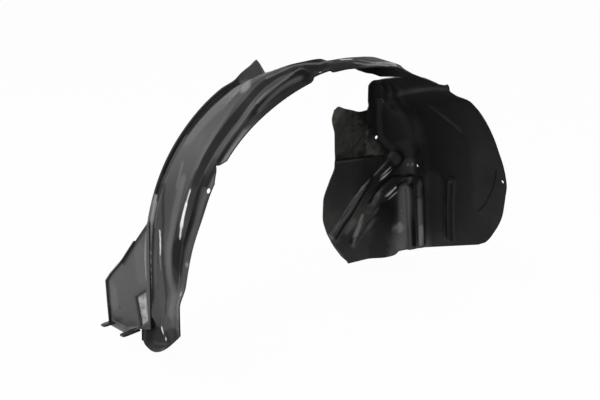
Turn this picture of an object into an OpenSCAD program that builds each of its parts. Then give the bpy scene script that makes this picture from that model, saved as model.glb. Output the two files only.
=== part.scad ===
// Wheel arch liner: one vacuum-formed sheet that hangs over a front wheel.
// X runs along the car to the rear, Y from the outboard lip to the engine bay, Z up.
// Stations are angles round the wheel: 180 at the front, 90 on top, 0 at the rear.
// Past 180 and below 0 the legs run straight down, one degree for each degree of arc.

/* [Sheet] */
// Thickness of the formed sheet
sheet_t = 2.5; // [2:0.1:3.5]
// Radius of the arch at its outboard lip
arch_r = 345; // [320:1:370]
// Depth of the front leg from the outboard lip to the inboard lip
leg_depth = 150; // [135:1:165]
// Depth of the rear housing from the outboard lip to the inner wall
housing_depth = 300; // [285:1:315]

/* [Front leg] */
// Station of the foot at the outboard lip
foot_station = 192.5; // [190:0.5:195]
// Degrees by which the foot's inboard corner hangs lower
foot_drop = 14.5; // [12:0.5:15]
// Station where the strut cut-out ends the wide panel
panel_end = 112; // [111:0.5:114]
// Height of the ear above the inboard lip
ear_rise = 26; // [15:1:35]
// Width of the flange along the front edge
flange_w = 10; // [9.5:0.5:11]
// Depth of the pressed pocket in the foot
foot_pocket = 7; // [3:0.5:9]

/* [Rear housing] */
// Radius of the bend between the rear wall and the inner wall
bend_r = 35; // [25:1:40]
// Height of the pressed ribs and beads
rib_h = 6; // [3:0.5:8]
// Width of the flank of a pressed rib
flank = 6; // [5:0.5:9]
// Height of the bottom edge below the wheel's axis
bottom_drop = 176; // [170:1:180]
// Height of the step across the roof of the housing
ledge_h = 8; // [4:0.5:10]
// Depth of the box pressed into the top of the inner wall
box_depth = 9; // [4:0.5:12]
// Inboard end of the short rib across the roof
roof_rib_in = 158; // [150:1:165]
// Outboard end of the short rib across the roof
roof_rib_out = 92; // [85:1:100]
// Width of the short rib across the roof
roof_rib_w = 12; // [9:0.5:14]
// Height of the short rib across the roof
roof_rib_h = 4; // [3:0.5:6]

/* [Wing] */
// Width of the wing panel at its foot
wing_w = 109; // [95:1:120]
// Depth of the window pressed into the wing beside the leg
wing_window = 10; // [5:0.5:14]
// Depth of the turned flanges round the wing
wing_flange = 9; // [5:0.5:12]
// Length of the locating prongs
prong_l = 26; // [15:1:35]
// Width of a prong
prong_w = 14; // [10:0.5:18]
// Height of the wing below its top corner
wing_h = 226; // [215:1:235]
// Place of the inner prong along the wing
prong_place = 30; // [22:1:40]

/* [Holes] */
// Diameter of the screw hole in the top tab
tab_hole_d = 9; // [6:0.5:11]
// Diameter of the screw hole in the front flange
flange_hole_d = 9; // [6:0.5:11]
// Diameter of the clip hole in the flap
flap_hole_d = 8; // [6:0.5:10]
// Diameter of the clip hole in the rear wall
wall_hole_d = 6; // [5:0.5:8]
// Diameter of the screw hole in the rear lip
lip_hole_d = 7; // [5:0.5:9]

/* [Hidden] */
function sum(v, k = 0) = k >= len(v) ? 0 : v[k] + sum(v, k + 1);

// Millimetres of leg for one degree of station
deg_len = arch_r * PI / 180;

// Smooth value of a table of [station, value] pairs in rising order
function secant(t, k) = (t[k + 1][1] - t[k][1]) / (t[k + 1][0] - t[k][0]);
function slope(t, k) =
    k == 0 || k == len(t) - 1 ? 0 :
    let (p = secant(t, k - 1), q = secant(t, k)) p * q <= 0 ? 0 : 2 * p * q / (p + q);
function at(t, x) =
    x <= t[0][0] ? t[0][1] : x >= t[len(t) - 1][0] ? t[len(t) - 1][1] :
    let (k = max([for (m = [0:len(t) - 2]) if (t[m][0] <= x) m]),
         w = t[k + 1][0] - t[k][0], u = (x - t[k][0]) / w,
         h1 = (1 + 2 * u) * pow(1 - u, 2), h2 = u * pow(1 - u, 2),
         h3 = u * u * (3 - 2 * u), h4 = u * u * (u - 1))
    h1 * t[k][1] + h2 * w * slope(t, k) + h3 * t[k + 1][1] + h4 * w * slope(t, k + 1);
// Soft step from 0 at lo to 1 at hi
function step(lo, hi, x) = let (u = min(max((x - lo) / (hi - lo), 0), 1)) u * u * (3 - 2 * u);
function mix(p, q, u) = p + (q - p) * u;

// Point and outward direction of the arch path at a station
function out_dir(a) = let (d = min(max(a, 0), 180)) [cos(d), 0, sin(d)];
function path(a) = arch_r * out_dir(a) + [0, 0, a > 180 ? -(a - 180) * deg_len : a < 0 ? a * deg_len : 0];
function on_path(a, rise, y) = path(a) + rise * out_dir(a) + [0, y, 0];

// Front section: the lines that run along the leg, as tables over the station
lip_rise = [[57, -5], [70, -9], [80, -6], [90, -6], [97, -2], [101.6, 0], [102.3, 5], [107.9, 6], [108.7, -1], [120, 0],
            [135, 2], [150, 0], [158, -3], [168, 1], [178, 8], [184, 21], [192.5, 22]];
flange_rise = [[57, -4], [80, -3], [97, 2], [107.9, 7], [108.7, 3], [112, 4], [150, 3], [160, 4], [168, 11], [178, 14],
               [184, 21], [192.5, 22]];
step1_rise = [[57, -3], [80, -3], [97, 3], [107.9, 8], [108.7, 11], [116, 15], [121, 12], [128, 8], [150, 8], [168, 13],
              [178, 14], [184, 21], [192.5, 22]];
step2_rise = [[57, -3], [80, -3], [97, 5], [107.9, 10], [108.7, 19], [114, 21], [120, 21], [125, 18], [132, 12],
              [150, 12], [165, 9], [172, 6], [180, 9], [186, 22], [192.5, 23]];
crest_rise = [[57, -3], [70, -2], [80, -1], [85, 1], [92, 5], [98, 8], [99.7, 9], [100.7, 15], [106, 21], [112, 27],
              [120, 30], [127, 26], [135, 23], [150, 18], [160, 10], [167, 3], [178, 1], [186, 21], [192.5, 24]];
crest_y = [[62, 146], [70, 125], [80, 85], [90, 46], [98, 38], [106, 42], [120, 54], [135, 42], [150, 38], [167, 33],
           [192.5, 36]];
inner_rise = [[60, -26], [68, -32], [76, -32], [85, -24], [92, -8], [100, 3], [112, 20], [120, 29], [135, 24],
              [150, 19], [160, 13], [170, 12], [180, 9], [186, 21], [192.5, 25]];
mid_rise = [[112, 16], [120, 24], [135, 24], [150, 20], [160, 17], [172, 14], [180, 14], [188, 22], [192.5, 27]];
ridge_rise = [[112, 8], [120, 19], [135, 23], [150, 22], [160, 20], [172, 16], [185, 17], [192.5, 26]];
groove_rise = [[112, 1], [120, 14], [135, 22], [150, 23], [164, 22], [173, 17], [185, 19], [192.5, 26]];
trough_rise = [[112, -7], [120, 4], [135, 10], [150, 11], [164, 11], [173, 9], [185, 14], [192.5, 25]];
foot_rise = [[112, -5], [120, 5], [135, 11], [150, 12], [164, 12], [173, 11], [185, 12], [192.5, 22]];
edge_rise = [[panel_end, 6], [panel_end + 0.6, ear_rise + 4], [panel_end + 3, ear_rise - 1], [117.5, 20], [120, 13],
             [125, 17], [135, 19],
             [150, 20], [165, 19], [180, 20], [186, 14], [188, 14], [190, 22], [192.5, 24]];
edge_y = [[112, -20], [114, -18], [117, -10], [120, 0], [187.5, 0], [189.5, 30], [192.5, 27]];

// Outboard edge: it leaves the lip plane at the cut-out over the strut and at the rear corner
lip_y = [[-9.2, 60], [-8.6, 40], [-6.5, 20], [-3, 6], [0, 1], [2, 0], [58.4, 0], [58.7, 38], [59.3, 47], [61.4, 62],
         [64, 82], [72, 50], [81, 0], [90, 0]];
// Drop of a row across the housing, in degrees over its depth
row_drop = [[-9.2, -19.6], [-5, -11], [0, -4], [10, -2], [20, -5], [35, -10], [48, -16.5], [57.8, -20],
            [63.5, -19], [72, -9], [84, 0]];
// Rise of the housing at the lip and over its wall
rear_lip_rise = [[-7, -10], [0, -4], [7, 3], [11, 8], [18, 6], [24, 3], [40, 2], [46, 0], [58, -5]];
rear_wall_rise = [[-28, 5], [-10, -6], [0, -10], [10, -8], [30, -3], [60, -3]];
// Forward edge of the inner wall, X over Z
wall_edge = [[-bottom_drop, 173], [-151, 153], [-115, 128], [-82, 112], [-50, 104], [-13, 105], [30, 120], [63, 133],
             [100, 131], [135, 130], [165, 123], [188, 129]];
// Edge above the flap
box_edge = [[180, 213], [193, 218], [220, 219], [235, 222], [243, 236]];
flap_top = 184;
// Sag of the bottom edge behind the wheel
bottom_sag = 8;
// Height of the flap's wavy top edge over the share of its width
flap_line = [[0, -6], [0.2, -7], [0.5, 0], [0.7, 5], [0.88, 11], [1, 5]];
// Depth in degrees of the small notch where the roof meets the rear lip
corner_notch = 1.5;

// Stations of the rows, from the foot over the top to the rear
housing_top = 63.5;
rear_foot = -9.2;
foot_rows = [for (d = [0, 1.3, 2.8, 4.2, 5.2, 6.6, 8.6, 11.2]) foot_station - d];
ear_rows = [for (d = [7, 5.2, 3.4, 1.8, 0.6, 0]) panel_end + d];
front_rows = concat(foot_rows, [for (k = [0:18]) 178.5 - k * (169.5 - panel_end) / 18], ear_rows);
top_rows = [110, 108.7, 107.9, 105, 102.3, 101.6, 100.7, 99.7, 96, 92, 88, 84, 80, 76, 72, 68, 65];
rear_rows = concat([housing_top, 61.4, 59.3, 58.7], [for (k = [0:28]) 58.4 - 2 * k],
                   [for (k = [1:11]) 2.4 - k * (2.4 - rear_foot) / 11]);
rows = concat(front_rows, top_rows, rear_rows);
first_top = len(front_rows);
first_rear = first_top + len(top_rows);

// Columns that share one section line with the next
splits = [2, 1, 2, 3, 3, 3, 2, 1, 2, 2, 1];
front_cols = sum(splits) + 1;
top_cols = 12;
arch_y = [0, 8, 19, 32, 46, 62, 80, 98, 116, 132, 146, 151, 169, 174, 192, 211, 230, 248, 254];
bend_cols = 4;
wall_cols = 8;
flap_cols = 9;

// Points of a polyline, each stretch cut into its number of splits
function cut(keys, k = 0) =
    k >= len(splits) ? [keys[len(splits)]] :
    concat([for (m = [0:splits[k] - 1]) mix(keys[k], keys[k + 1], m / splits[k])], cut(keys, k + 1));

function foot_tilt(a, y) = foot_drop * step(175, foot_station, a) * sin(90 * min(y / leg_depth, 1));

function front_keys(a) =
    let (d = leg_depth, top = at(lip_y, a), e = d + at(edge_y, a))
    [[top, at(lip_rise, a)], [top + flange_w, at(flange_rise, a)], [top + flange_w + 3, at(step1_rise, a)],
     [top + flange_w + 8, at(step2_rise, a)], [at(crest_y, a), at(crest_rise, a)],
     [at(crest_y, a) + 16 * step(108, 116, a) + 1.5, at(inner_rise, a)],
     [d * 0.54, at(mid_rise, a)], [d * 0.65, at(ridge_rise, a)], [d * 0.76, at(groove_rise, a)],
     [e - d * 0.12, at(trough_rise, a)], [e - 3, at(foot_rise, a)], [e, at(edge_rise, a)]];

function front_row(a, cols) =
    let (pts = cut(front_keys(a)))
    [for (j = [0:cols - 1]) on_path(a + foot_tilt(a, pts[j][0]), pts[j][1], pts[j][0])];

// Lines of the two arms pressed into the inner wall, X over Z, and half their widths
arm_a = [[-bottom_drop, 200], [-104, 131], [-60, 164], [-10, 210], [30, 262], [56, 294], [100, 300], [183, 300]];
arm_b = [[-bottom_drop, 250], [-126, 184], [-71, 226], [-54, 234], [-10, 282], [5, 330], [100, 340], [183, 345]];
arm_a_half = [[-104, 9], [-10, 12], [56, 17]];
arm_b_half = [[-126, 6], [-71, 8], [-54, 16], [-10, 18]];
function arm_keys(z) =
    let (f = 2 * flank, a = at(arm_a, z), b = at(arm_b, z), ah = at(arm_a_half, z), bh = at(arm_b_half, z))
    [b + bh + f, b + bh, b - bh, b - bh - f, a + ah + f, a + ah, a - ah, a - ah - f];
// Columns of the inner wall: they follow the arms, in order and inside the wall
function in_order(keys, left, prev, k = 0) =
    k >= len(keys) ? [] :
    let (x = max(min(keys[k], prev - 3), left + 15 + 3 * (len(keys) - k)))
    concat([x], in_order(keys, left, x, k + 1));

// The housing: rear wall, bend and inner wall at one row
function corner_dip(a, y) =
    corner_notch * step(56.6, 58.4, a) * (1 - step(58.8, 59.2, a)) * step(0, 38, y) * (1 - step(41, 60, y));
function drop_at(a, y) = a + at(row_drop, a) * y / housing_depth - corner_dip(a, y);
function rear_rise(a, y) = mix(at(rear_lip_rise, a), at(rear_wall_rise, a), step(0, 85, y));
function rear_point(a, y) = let (b = drop_at(a, y)) on_path(b, rear_rise(b, y), y);
// Radius of the bend over Z: it widens into a fold beside the flap
bend_table = [[-bottom_drop, bend_r], [40, bend_r], [80, 1.37 * bend_r], [100, 1.8 * bend_r], [140, 1.7 * bend_r],
              [180, 1.4 * bend_r]];
function housing_point(b, y) =
    let (q = on_path(b, rear_rise(b, y), y), r = at(bend_table, q[2]), t = max(y - housing_depth + r, 0))
    q - [r - sqrt(r * r - t * t), 0, 0];
near_cols = 11;
// Height along a row of the inner wall: lifted at the flap's top edge, sagging at the bottom edge
function wall_z(x, z, lift) =
    z + lift * (1 - step(0, 40, abs(z - flap_top)))
    - bottom_sag * step(bottom_drop - 40, bottom_drop, -z) * step(220, 285, x) * (1 - step(303, 312, x));
function rear_row(a) =
    let (corner = rear_point(a, housing_depth), z = corner[2], y0 = at(lip_y, a), above = z > flap_top,
         r = min(at(bend_table, z), (corner[0] - at(box_edge, max(z, 180))) * 0.7),
         reach = housing_depth - r, left = at(wall_edge, z), last = len(arch_y) - 1, split = arch_y[near_cols - 1],
         start = corner[0] - r, mid = at(box_edge, z), even = [for (k = [1:wall_cols]) mix(start, mid, k / wall_cols)],
         keys = above ? even : let (w = step(85, flap_top, z), line = arm_keys(z))
                in_order([for (k = [0:wall_cols - 1]) mix(line[k], even[k], w)], left, start))
    concat(
        [for (k = [0:last]) let (y = arch_y[k])
            rear_point(a, k < near_cols ? mix(y0, split, y / split)
                                        : mix(split, reach, (y - split) / (arch_y[last] - split)))],
        [for (k = [1:bend_cols])
            let (t = 90 * k / bend_cols, q = rear_point(a, reach + r * sin(t))) [q[0] - r * (1 - cos(t)), q[1], q[2]]],
        [for (k = [1:wall_cols]) [keys[k - 1], housing_depth, wall_z(keys[k - 1], z, flap_line[0][1] * k / wall_cols)]],
        above ? [] : [for (k = [1:flap_cols]) let (u = k / flap_cols, x = mix(keys[wall_cols - 1], left, u))
            [x, housing_depth, wall_z(x, z, at(flap_line, u))]]);

base_points = [for (i = [0:len(rows) - 1])
    i < first_top ? front_row(rows[i], front_cols) :
    i < first_rear ? front_row(rows[i], top_cols) : rear_row(rows[i])];
counts = [for (row = base_points) len(row)];

// Direction across the sheet at a grid point
function unit(v) = v / norm(v);
function normal(p, i, j) =
    let (n = len(p), up = i > 0 && j < counts[i - 1] ? i - 1 : i, dn = i < n - 1 && j < counts[i + 1] ? i + 1 : i,
         lf = max(j - 1, 0), rt = min(j + 1, counts[i] - 1))
    unit(cross(p[i][rt] - p[i][lf], p[dn][j] - p[up][j]));

// Pressed forms, as a height toward the wheel at a point of the sheet
function station(p) = p[2] > 0 ? atan2(p[2], p[0]) : p[0] > 0 ? p[2] / deg_len : 180 - p[2] / deg_len;
function band(lo, hi, x, f) = step(lo - f / 2, lo + f / 2, x) * (1 - step(hi - f / 2, hi + f / 2, x));
function seg_dist(p, q, r) = let (d = r - q, u = min(max((p - q) * d / (d * d), 0), 1)) norm(p - q - u * d);
function line_dist(p, line) = min([for (k = [0:len(line) - 2]) seg_dist(p, line[k], line[k + 1])]);
function raised(p, line, w) = 1 - step(w / 2, w / 2 + flank, line_dist(p, line));

rib_1_y = 254;
rib_2_y = 148.5;
rib_2_w = 24;
function ribs(a, y) =
    rib_h * (band(rib_1_y, housing_depth - 8, y, flank) * (1 - step(0.5, 2.5, a))
             + band(rib_2_y, rib_2_y + rib_2_w, y, 0.8 * flank) * band(-17, 6, a, 2));
function ledge_line(y) = 53 - 15 * (y - 70) / 221;
function ledge(a, y) =
    ledge_h * (1 - step(ledge_line(y) - 1.8, ledge_line(y), a)) * step(ledge_line(y) - 12, ledge_line(y) - 4, a);
function arms(x, z) =
    let (q = [x, z])
    rib_h * max(raised(q, [[292, 54], [262, 30], [210, -10], [164, -60], [134, -100]], 18),
                raised(q, [[322, 2], [282, -10], [234, -54]], 26),
                raised(q, [[226, -71], [184, -126]], 10),
                raised(q, [[294, 56], [292, 54]], 30));
function flap(x, z) = 3 * step(68, 80, z + 0.07 * (x - 133)) * (1 - step(195, 232, x));
function box(x, z) = -box_depth * band(220, 257, x, 1.6 * flank) * band(191, 231, z, 1.6 * flank);
function rear_press(p) =
    let (a = station(p), inboard = step(housing_depth - 18, housing_depth - 3, p[1]))
    ribs(a, p[1]) + (1 - inboard) * ledge(a, p[1]) + inboard * (arms(p[0], p[2]) + flap(p[0], p[2]) + box(p[0], p[2]));
function foot_edge(y) = foot_station + foot_drop * sin(90 * min(y / leg_depth, 1));
function front_press(p) =
    let (a = station(p), y = p[1])
    foot_pocket * step(196.6, 198.6, a) * (1 - step(foot_edge(y) - 2.4, foot_edge(y) - 0.4, a))
    * band(54, leg_depth - 3, y, 8);
function press(p) = p[0] > 0 ? rear_press(p) : front_press(p);

module sheet() {
    n = [for (i = [0:len(base_points) - 1]) [for (j = [0:counts[i] - 1]) normal(base_points, i, j)]];
    p = [for (i = [0:len(base_points) - 1]) [for (j = [0:counts[i] - 1])
        base_points[i][j] + n[i][j] * press(base_points[i][j])]];
    starts = [for (i = [0:len(p)]) sum([for (k = [0:len(p) - 1]) k < i ? counts[k] : 0])];
    total = starts[len(p)];
    outer = [for (i = [0:len(p) - 1]) for (j = [0:counts[i] - 1]) p[i][j] + n[i][j] * sheet_t / 2];
    inner = [for (i = [0:len(p) - 1]) for (j = [0:counts[i] - 1]) p[i][j] - n[i][j] * sheet_t / 2];
    function at_ij(i, j) = starts[i] + j;
    function cell(i, j) = i >= 0 && i < len(p) - 1 && j >= 0 && j < min(counts[i], counts[i + 1]) - 1;
    faces = [for (i = [0:len(p) - 2]) for (j = [0:min(counts[i], counts[i + 1]) - 2])
        let (a = at_ij(i, j), b = at_ij(i, j + 1), c = at_ij(i + 1, j + 1), d = at_ij(i + 1, j),
             on_wall = base_points[i][j][1] > housing_depth - 1,
             swap = on_wall && norm(p[i][j + 1] - p[i + 1][j]) <= norm(p[i][j] - p[i + 1][j + 1]))
        each concat(
            swap ? [[a, d, b], [b, d, c], [total + a, total + b, total + d], [total + b, total + c, total + d]]
                 : [[a, d, c], [a, c, b], [total + a, total + c, total + d], [total + a, total + b, total + c]],
            cell(i - 1, j) ? [] : [[a, b, total + b], [a, total + b, total + a]],
            cell(i + 1, j) ? [] : [[c, d, total + d], [c, total + d, total + c]],
            cell(i, j - 1) ? [] : [[d, a, total + a], [d, total + a, total + d]],
            cell(i, j + 1) ? [] : [[b, c, total + c], [b, total + c, total + b]])];
    polyhedron(concat(outer, inner), faces, convexity = 10);
}

// Point and direction toward the wheel on the flange or the housing
function keyed(keys, y, k = 0) =
    k >= len(keys) - 2 || y <= keys[k + 1][0] ?
        mix(keys[k][1], keys[k + 1][1], (y - keys[k][0]) / (keys[k + 1][0] - keys[k][0])) : keyed(keys, y, k + 1);
function front_point(a, y) = on_path(a, keyed(front_keys(a), y), y);
function across(p, a0, a1, y0, y1) = unit(cross(y1 - y0, a1 - a0));
function front_frame(a, y) = let (p = front_point(a, y))
    [p, across(p, front_point(a + 0.5, y), front_point(a - 0.5, y), front_point(a, y - 3), front_point(a, y + 3))];
function rear_frame(a, y) = let (p = housing_point(a, y))
    [p, across(p, housing_point(a + 0.5, y), housing_point(a - 0.5, y), housing_point(a, y - 3), housing_point(a, y + 3))];

// Screw and clip holes, drilled square to the sheet
tab = front_frame(105, 7);
flange = front_frame(151.1, 5.2);
wall = rear_frame(7, 267);
lip = rear_frame(12, 9);
flap_point = [[241, housing_depth, 112], [0, -1, 0]];
module hole(place, d) {
    n = place[1];
    translate(place[0]) rotate([0, acos(n[2]), atan2(n[1], n[0])]) translate([0, 0, -12]) cylinder(d = d, h = 24, $fn = 24);
}

// Notch in the front flange
module notch() {
    a = 146;
    translate(path(a)) rotate([0, 90 - a, 0]) translate([0, 0, -20]) linear_extrude(40)
        polygon([[20, -2], [15, 1], [10.5, 13], [-15, 1.5], [-16, -2]]);
}

// Short rib pressed across the roof of the housing
module roof_rib(from, to, w, h) {
    n = 8;
    rings = [for (k = [0:n])
        let (u = k / n, a = mix(from[0], to[0], u), y = mix(from[1], to[1], u), f = rear_frame(a, y),
             g = housing_point(a + (to[0] - from[0]) / n, y + (to[1] - from[1]) / n) - f[0],
             side = unit(cross(f[1], g)), e = sqrt(max(1 - pow(2 * u - 1, 4), 0.04)), low = f[0] + f[1] * 0.3,
             high = f[0] + f[1] * (sheet_t / 2 + h * e))
        [low - side * w * e / 2, high - side * w * e / 4, high + side * w * e / 4, low + side * w * e / 2]];
    faces = concat([[3, 2, 1, 0]], [[for (m = [0:3]) 4 * n + m]],
        [for (k = [0:n - 1]) for (m = [0:3]) let (q = (m + 1) % 4, a = 4 * k + m, b = 4 * k + q, c = b + 4, d = a + 4)
            each [[a, b, c], [a, c, d]]]);
    polyhedron([for (r = rings) each r], faces, convexity = 4);
}

// The wing: a flat panel that carries on forward from the leg's inboard lip
wing_line = [[-6, 2], [32, -45], [67, -90], [wing_w - 7, -126], [wing_w + 7, -144], [wing_w + 4, -184],
             [wing_w, -wing_h], [60, -wing_h - 3], [25, 12 - wing_h], [-6, 21 - wing_h]];
window_line = [[33, -153], [5, -132], [-1, -190], [20, -208]];
module upright(h) { rotate([90, 0, 90]) linear_extrude(h) children(); }
module prong(y, l) {
    translate([-l, y - prong_w / 2, 0]) linear_extrude(3)
        polygon([[0, 4], [3, 1], [9, 0], [l, 0], [l, prong_w], [9, prong_w], [3, prong_w - 1], [0, prong_w - 4]]);
}
module wing() {
    difference() {
        union() {
            upright(sheet_t) polygon(wing_line);
            translate([-wing_flange, 0, 0]) upright(wing_flange) difference() {
                polygon(wing_line);
                offset(delta = -sheet_t) polygon(wing_line);
                polygon([[-20, 20], [150, 20], [150, -218], [wing_w - 4, -218], [55, -218], [22, -203], [-20, -190]]);
            }
            translate([-wing_flange / 2, 0, 0]) upright(wing_flange / 2) difference() {
                polygon(wing_line);
                offset(delta = -sheet_t) polygon(wing_line);
                polygon([[-20, -215], [-20, 20], [3, 20], [3, -100], [60, -215], [150, -215], [150, -260], [-20, -260]]);
            }
            upright(wing_window + sheet_t) offset(delta = sheet_t) polygon(window_line);
        }
        translate([-1, 0, 0]) upright(wing_window + 1) polygon(window_line);
    }
    translate([0, wing_w - prong_w / 2, -wing_h]) prong(0, prong_l);
    translate([0, prong_place, 8 - wing_h]) prong(0, 1.5 * prong_l);
}

module liner() {
    color([0.16, 0.16, 0.17]) translate(-tab[0]) difference() {
        union() {
            sheet();
            roof_rib([37, roof_rib_in], [29, roof_rib_out], roof_rib_w, roof_rib_h);
            translate([-arch_r - 12, leg_depth - 2, 80]) rotate([0, 2.9, 18.6]) wing();
        }
        notch();
        hole(tab, tab_hole_d);
        hole(flange, flange_hole_d);
        hole(wall, wall_hole_d);
        hole(lip, lip_hole_d);
        hole(flap_point, flap_hole_d);
    }
}

liner();
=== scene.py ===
"""Wheel arch liner: one formed black sheet with a front leg, a wing and a deep rear housing."""

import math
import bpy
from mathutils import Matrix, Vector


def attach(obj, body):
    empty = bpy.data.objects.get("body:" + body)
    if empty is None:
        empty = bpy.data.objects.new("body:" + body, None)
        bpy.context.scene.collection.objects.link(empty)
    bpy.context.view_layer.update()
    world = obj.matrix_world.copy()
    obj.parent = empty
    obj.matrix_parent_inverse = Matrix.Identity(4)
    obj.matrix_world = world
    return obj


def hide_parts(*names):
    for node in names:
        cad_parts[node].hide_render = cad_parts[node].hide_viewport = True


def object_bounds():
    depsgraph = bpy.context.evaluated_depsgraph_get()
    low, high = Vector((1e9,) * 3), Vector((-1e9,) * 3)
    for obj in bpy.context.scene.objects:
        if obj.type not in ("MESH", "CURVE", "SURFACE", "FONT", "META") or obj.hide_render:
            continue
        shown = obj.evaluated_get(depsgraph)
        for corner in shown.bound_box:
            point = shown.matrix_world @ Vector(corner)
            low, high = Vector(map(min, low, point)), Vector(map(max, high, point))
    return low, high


bl_info = {
    "name": "Wheel arch liner",
    "version": (1, 0, 0),
    "blender": (4, 5, 0),
    "location": "View3D > Sidebar > Liner",
    "description": "Builds a formed wheel arch liner and its studio",
    "category": "Object",
}

import bmesh
import bpy
from mathutils import Matrix, Vector

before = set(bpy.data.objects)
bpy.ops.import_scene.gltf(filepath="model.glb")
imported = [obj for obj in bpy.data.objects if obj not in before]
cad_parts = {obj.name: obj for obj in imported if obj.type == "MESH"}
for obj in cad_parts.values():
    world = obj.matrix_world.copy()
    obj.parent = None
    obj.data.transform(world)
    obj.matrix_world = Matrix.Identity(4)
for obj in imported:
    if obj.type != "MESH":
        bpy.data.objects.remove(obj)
CAD_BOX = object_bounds()
MM = 0.001


# Sizes and colours that a user would change
class LinerSizes(bpy.types.PropertyGroup):
    """Sizes of the liner."""

    sheet: bpy.props.FloatProperty(
        name="Sheet", description="Thickness of the formed sheet", default=0.0025, unit="LENGTH"
    )
    rib: bpy.props.FloatProperty(
        name="Rib height", description="Height of the pressed ribs and arms", default=0.006, unit="LENGTH"
    )
    ledge: bpy.props.FloatProperty(
        name="Ledge", description="Step across the roof of the housing", default=0.008, unit="LENGTH"
    )
    box: bpy.props.FloatProperty(
        name="Box", description="Depth of the box pressed beside the roof", default=0.009, unit="LENGTH"
    )
    pocket: bpy.props.FloatProperty(
        name="Foot pocket", description="Depth of the pocket in the foot", default=0.007, unit="LENGTH"
    )
    window: bpy.props.FloatProperty(
        name="Wing window", description="Depth of the window in the wing", default=0.003, unit="LENGTH"
    )
    flange: bpy.props.FloatProperty(
        name="Wing flange", description="Depth of the flange under the wing", default=0.009, unit="LENGTH"
    )
    prong: bpy.props.FloatProperty(
        name="Prong", description="Length of the outer prong", default=0.026, unit="LENGTH"
    )


class LinerColours(bpy.types.PropertyGroup):
    """Colours of the liner and its studio."""

    plastic: bpy.props.FloatVectorProperty(
        name="Plastic", description="Colour of the formed sheet", size=3, subtype="COLOR",
        default=(0.0105, 0.011, 0.0115),
    )
    olive: bpy.props.FloatVectorProperty(
        name="Flap", description="Dull olive grey of the flap", size=3, subtype="COLOR",
        default=(0.030, 0.030, 0.0245),
    )
    # pale grey of the window floor, a painted reflection
    window_sheen: bpy.props.FloatVectorProperty(
        name="Window floor sheen", description="Pale grey floor of the wing's window", size=3, subtype="COLOR",
        default=(0.42, 0.43, 0.44),
    )
    ground: bpy.props.FloatVectorProperty(
        name="Ground", description="Colour of the studio floor", size=3, subtype="COLOR",
        default=(0.9, 0.9, 0.9),
    )


# Main sizes of the sheet in millimetres. A station is the angle round the wheel in degrees, 0 at the rear and
# 180 at the leg. Past both ends of the half circle the sheet runs straight down, DEG_LEN to a degree.
ARCH_R = 345.0
LEG_DEPTH = 150.0
DEPTH = 300.0
FOOT = 192.5
FOOT_DROP = 14.5
PANEL_END = 112.0
EAR = 26.0
BEND_R = 35.0
BOTTOM = 176.0
DEG_LEN = ARCH_R * math.pi / 180
FLANGE_W = 10.0
FLANK = 6.0
JOIN_Y = 146
# Rise over the arch along each line of the leg and top band, from the lip to the far edge: (station, rise)
LIP_RISE = [(57, -5), (70, -9), (80, -6), (90, -6), (97, -2), (101.6, 0), (102.3, 5), (107.9, 6),
            (108.7, -1), (120, 0), (135, 2), (150, 0), (158, -3), (168, 1), (178, 8), (184, 21),
            (192.5, 22)]
FLANGE_RISE = [(57, -4), (80, -3), (97, 2), (107.9, 7), (108.7, 3), (112, 4), (150, 3), (160, 4), (168, 11),
               (178, 14), (184, 21), (192.5, 22)]
STEP_1_RISE = [(57, -3), (80, -3), (97, 3), (107.9, 8), (108.7, 11), (116, 15), (121, 12), (128, 8),
               (150, 8), (168, 13), (178, 14), (184, 21), (192.5, 22)]
STEP_2_RISE = [(57, -3), (80, -3), (97, 5), (107.9, 10), (108.7, 19), (114, 21), (120, 21), (125, 18),
               (132, 12), (150, 12), (165, 9), (172, 6), (180, 9), (186, 22), (192.5, 23)]
CREST_RISE = [(57, -3), (70, -2), (80, -1), (85, 1), (92, 5), (98, 8), (99.7, 9), (100.7, 15), (106, 21),
              (112, 27), (120, 30), (127, 26), (135, 23), (150, 18), (160, 10), (167, 3), (178, 1),
              (186, 21), (192.5, 24)]
INNER_RISE = [(60, -26), (68, -32), (76, -32), (85, -24), (92, -8), (100, 3), (112, 20), (120, 29),
              (135, 24), (150, 19), (160, 13), (170, 12), (180, 9), (186, 21), (192.5, 25)]
MID_RISE = [(112, 16), (120, 24), (135, 24), (150, 20), (160, 17), (172, 14), (180, 14), (188, 22),
            (192.5, 27)]
RIDGE_RISE = [(112, 8), (120, 19), (135, 23), (150, 22), (160, 20), (172, 16), (185, 17), (192.5, 26)]
GROOVE_RISE = [(112, 1), (120, 14), (135, 22), (150, 23), (164, 22), (173, 17), (185, 19), (192.5, 26)]
TROUGH_RISE = [(112, -7), (120, 4), (135, 10), (150, 11), (164, 11), (173, 9), (185, 14), (192.5, 25)]
FOOT_RISE = [(112, -5), (120, 5), (135, 11), (150, 12), (164, 12), (173, 11), (185, 12), (192.5, 22)]
EDGE_RISE = [(PANEL_END, 6), (PANEL_END + 0.6, EAR + 4), (PANEL_END + 3, EAR - 1), (117.5, 20), (120, 13),
             (125, 17), (135, 19), (150, 20), (165, 19), (180, 20), (186, 14), (188, 14), (190, 22),
             (192.5, 24)]
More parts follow.
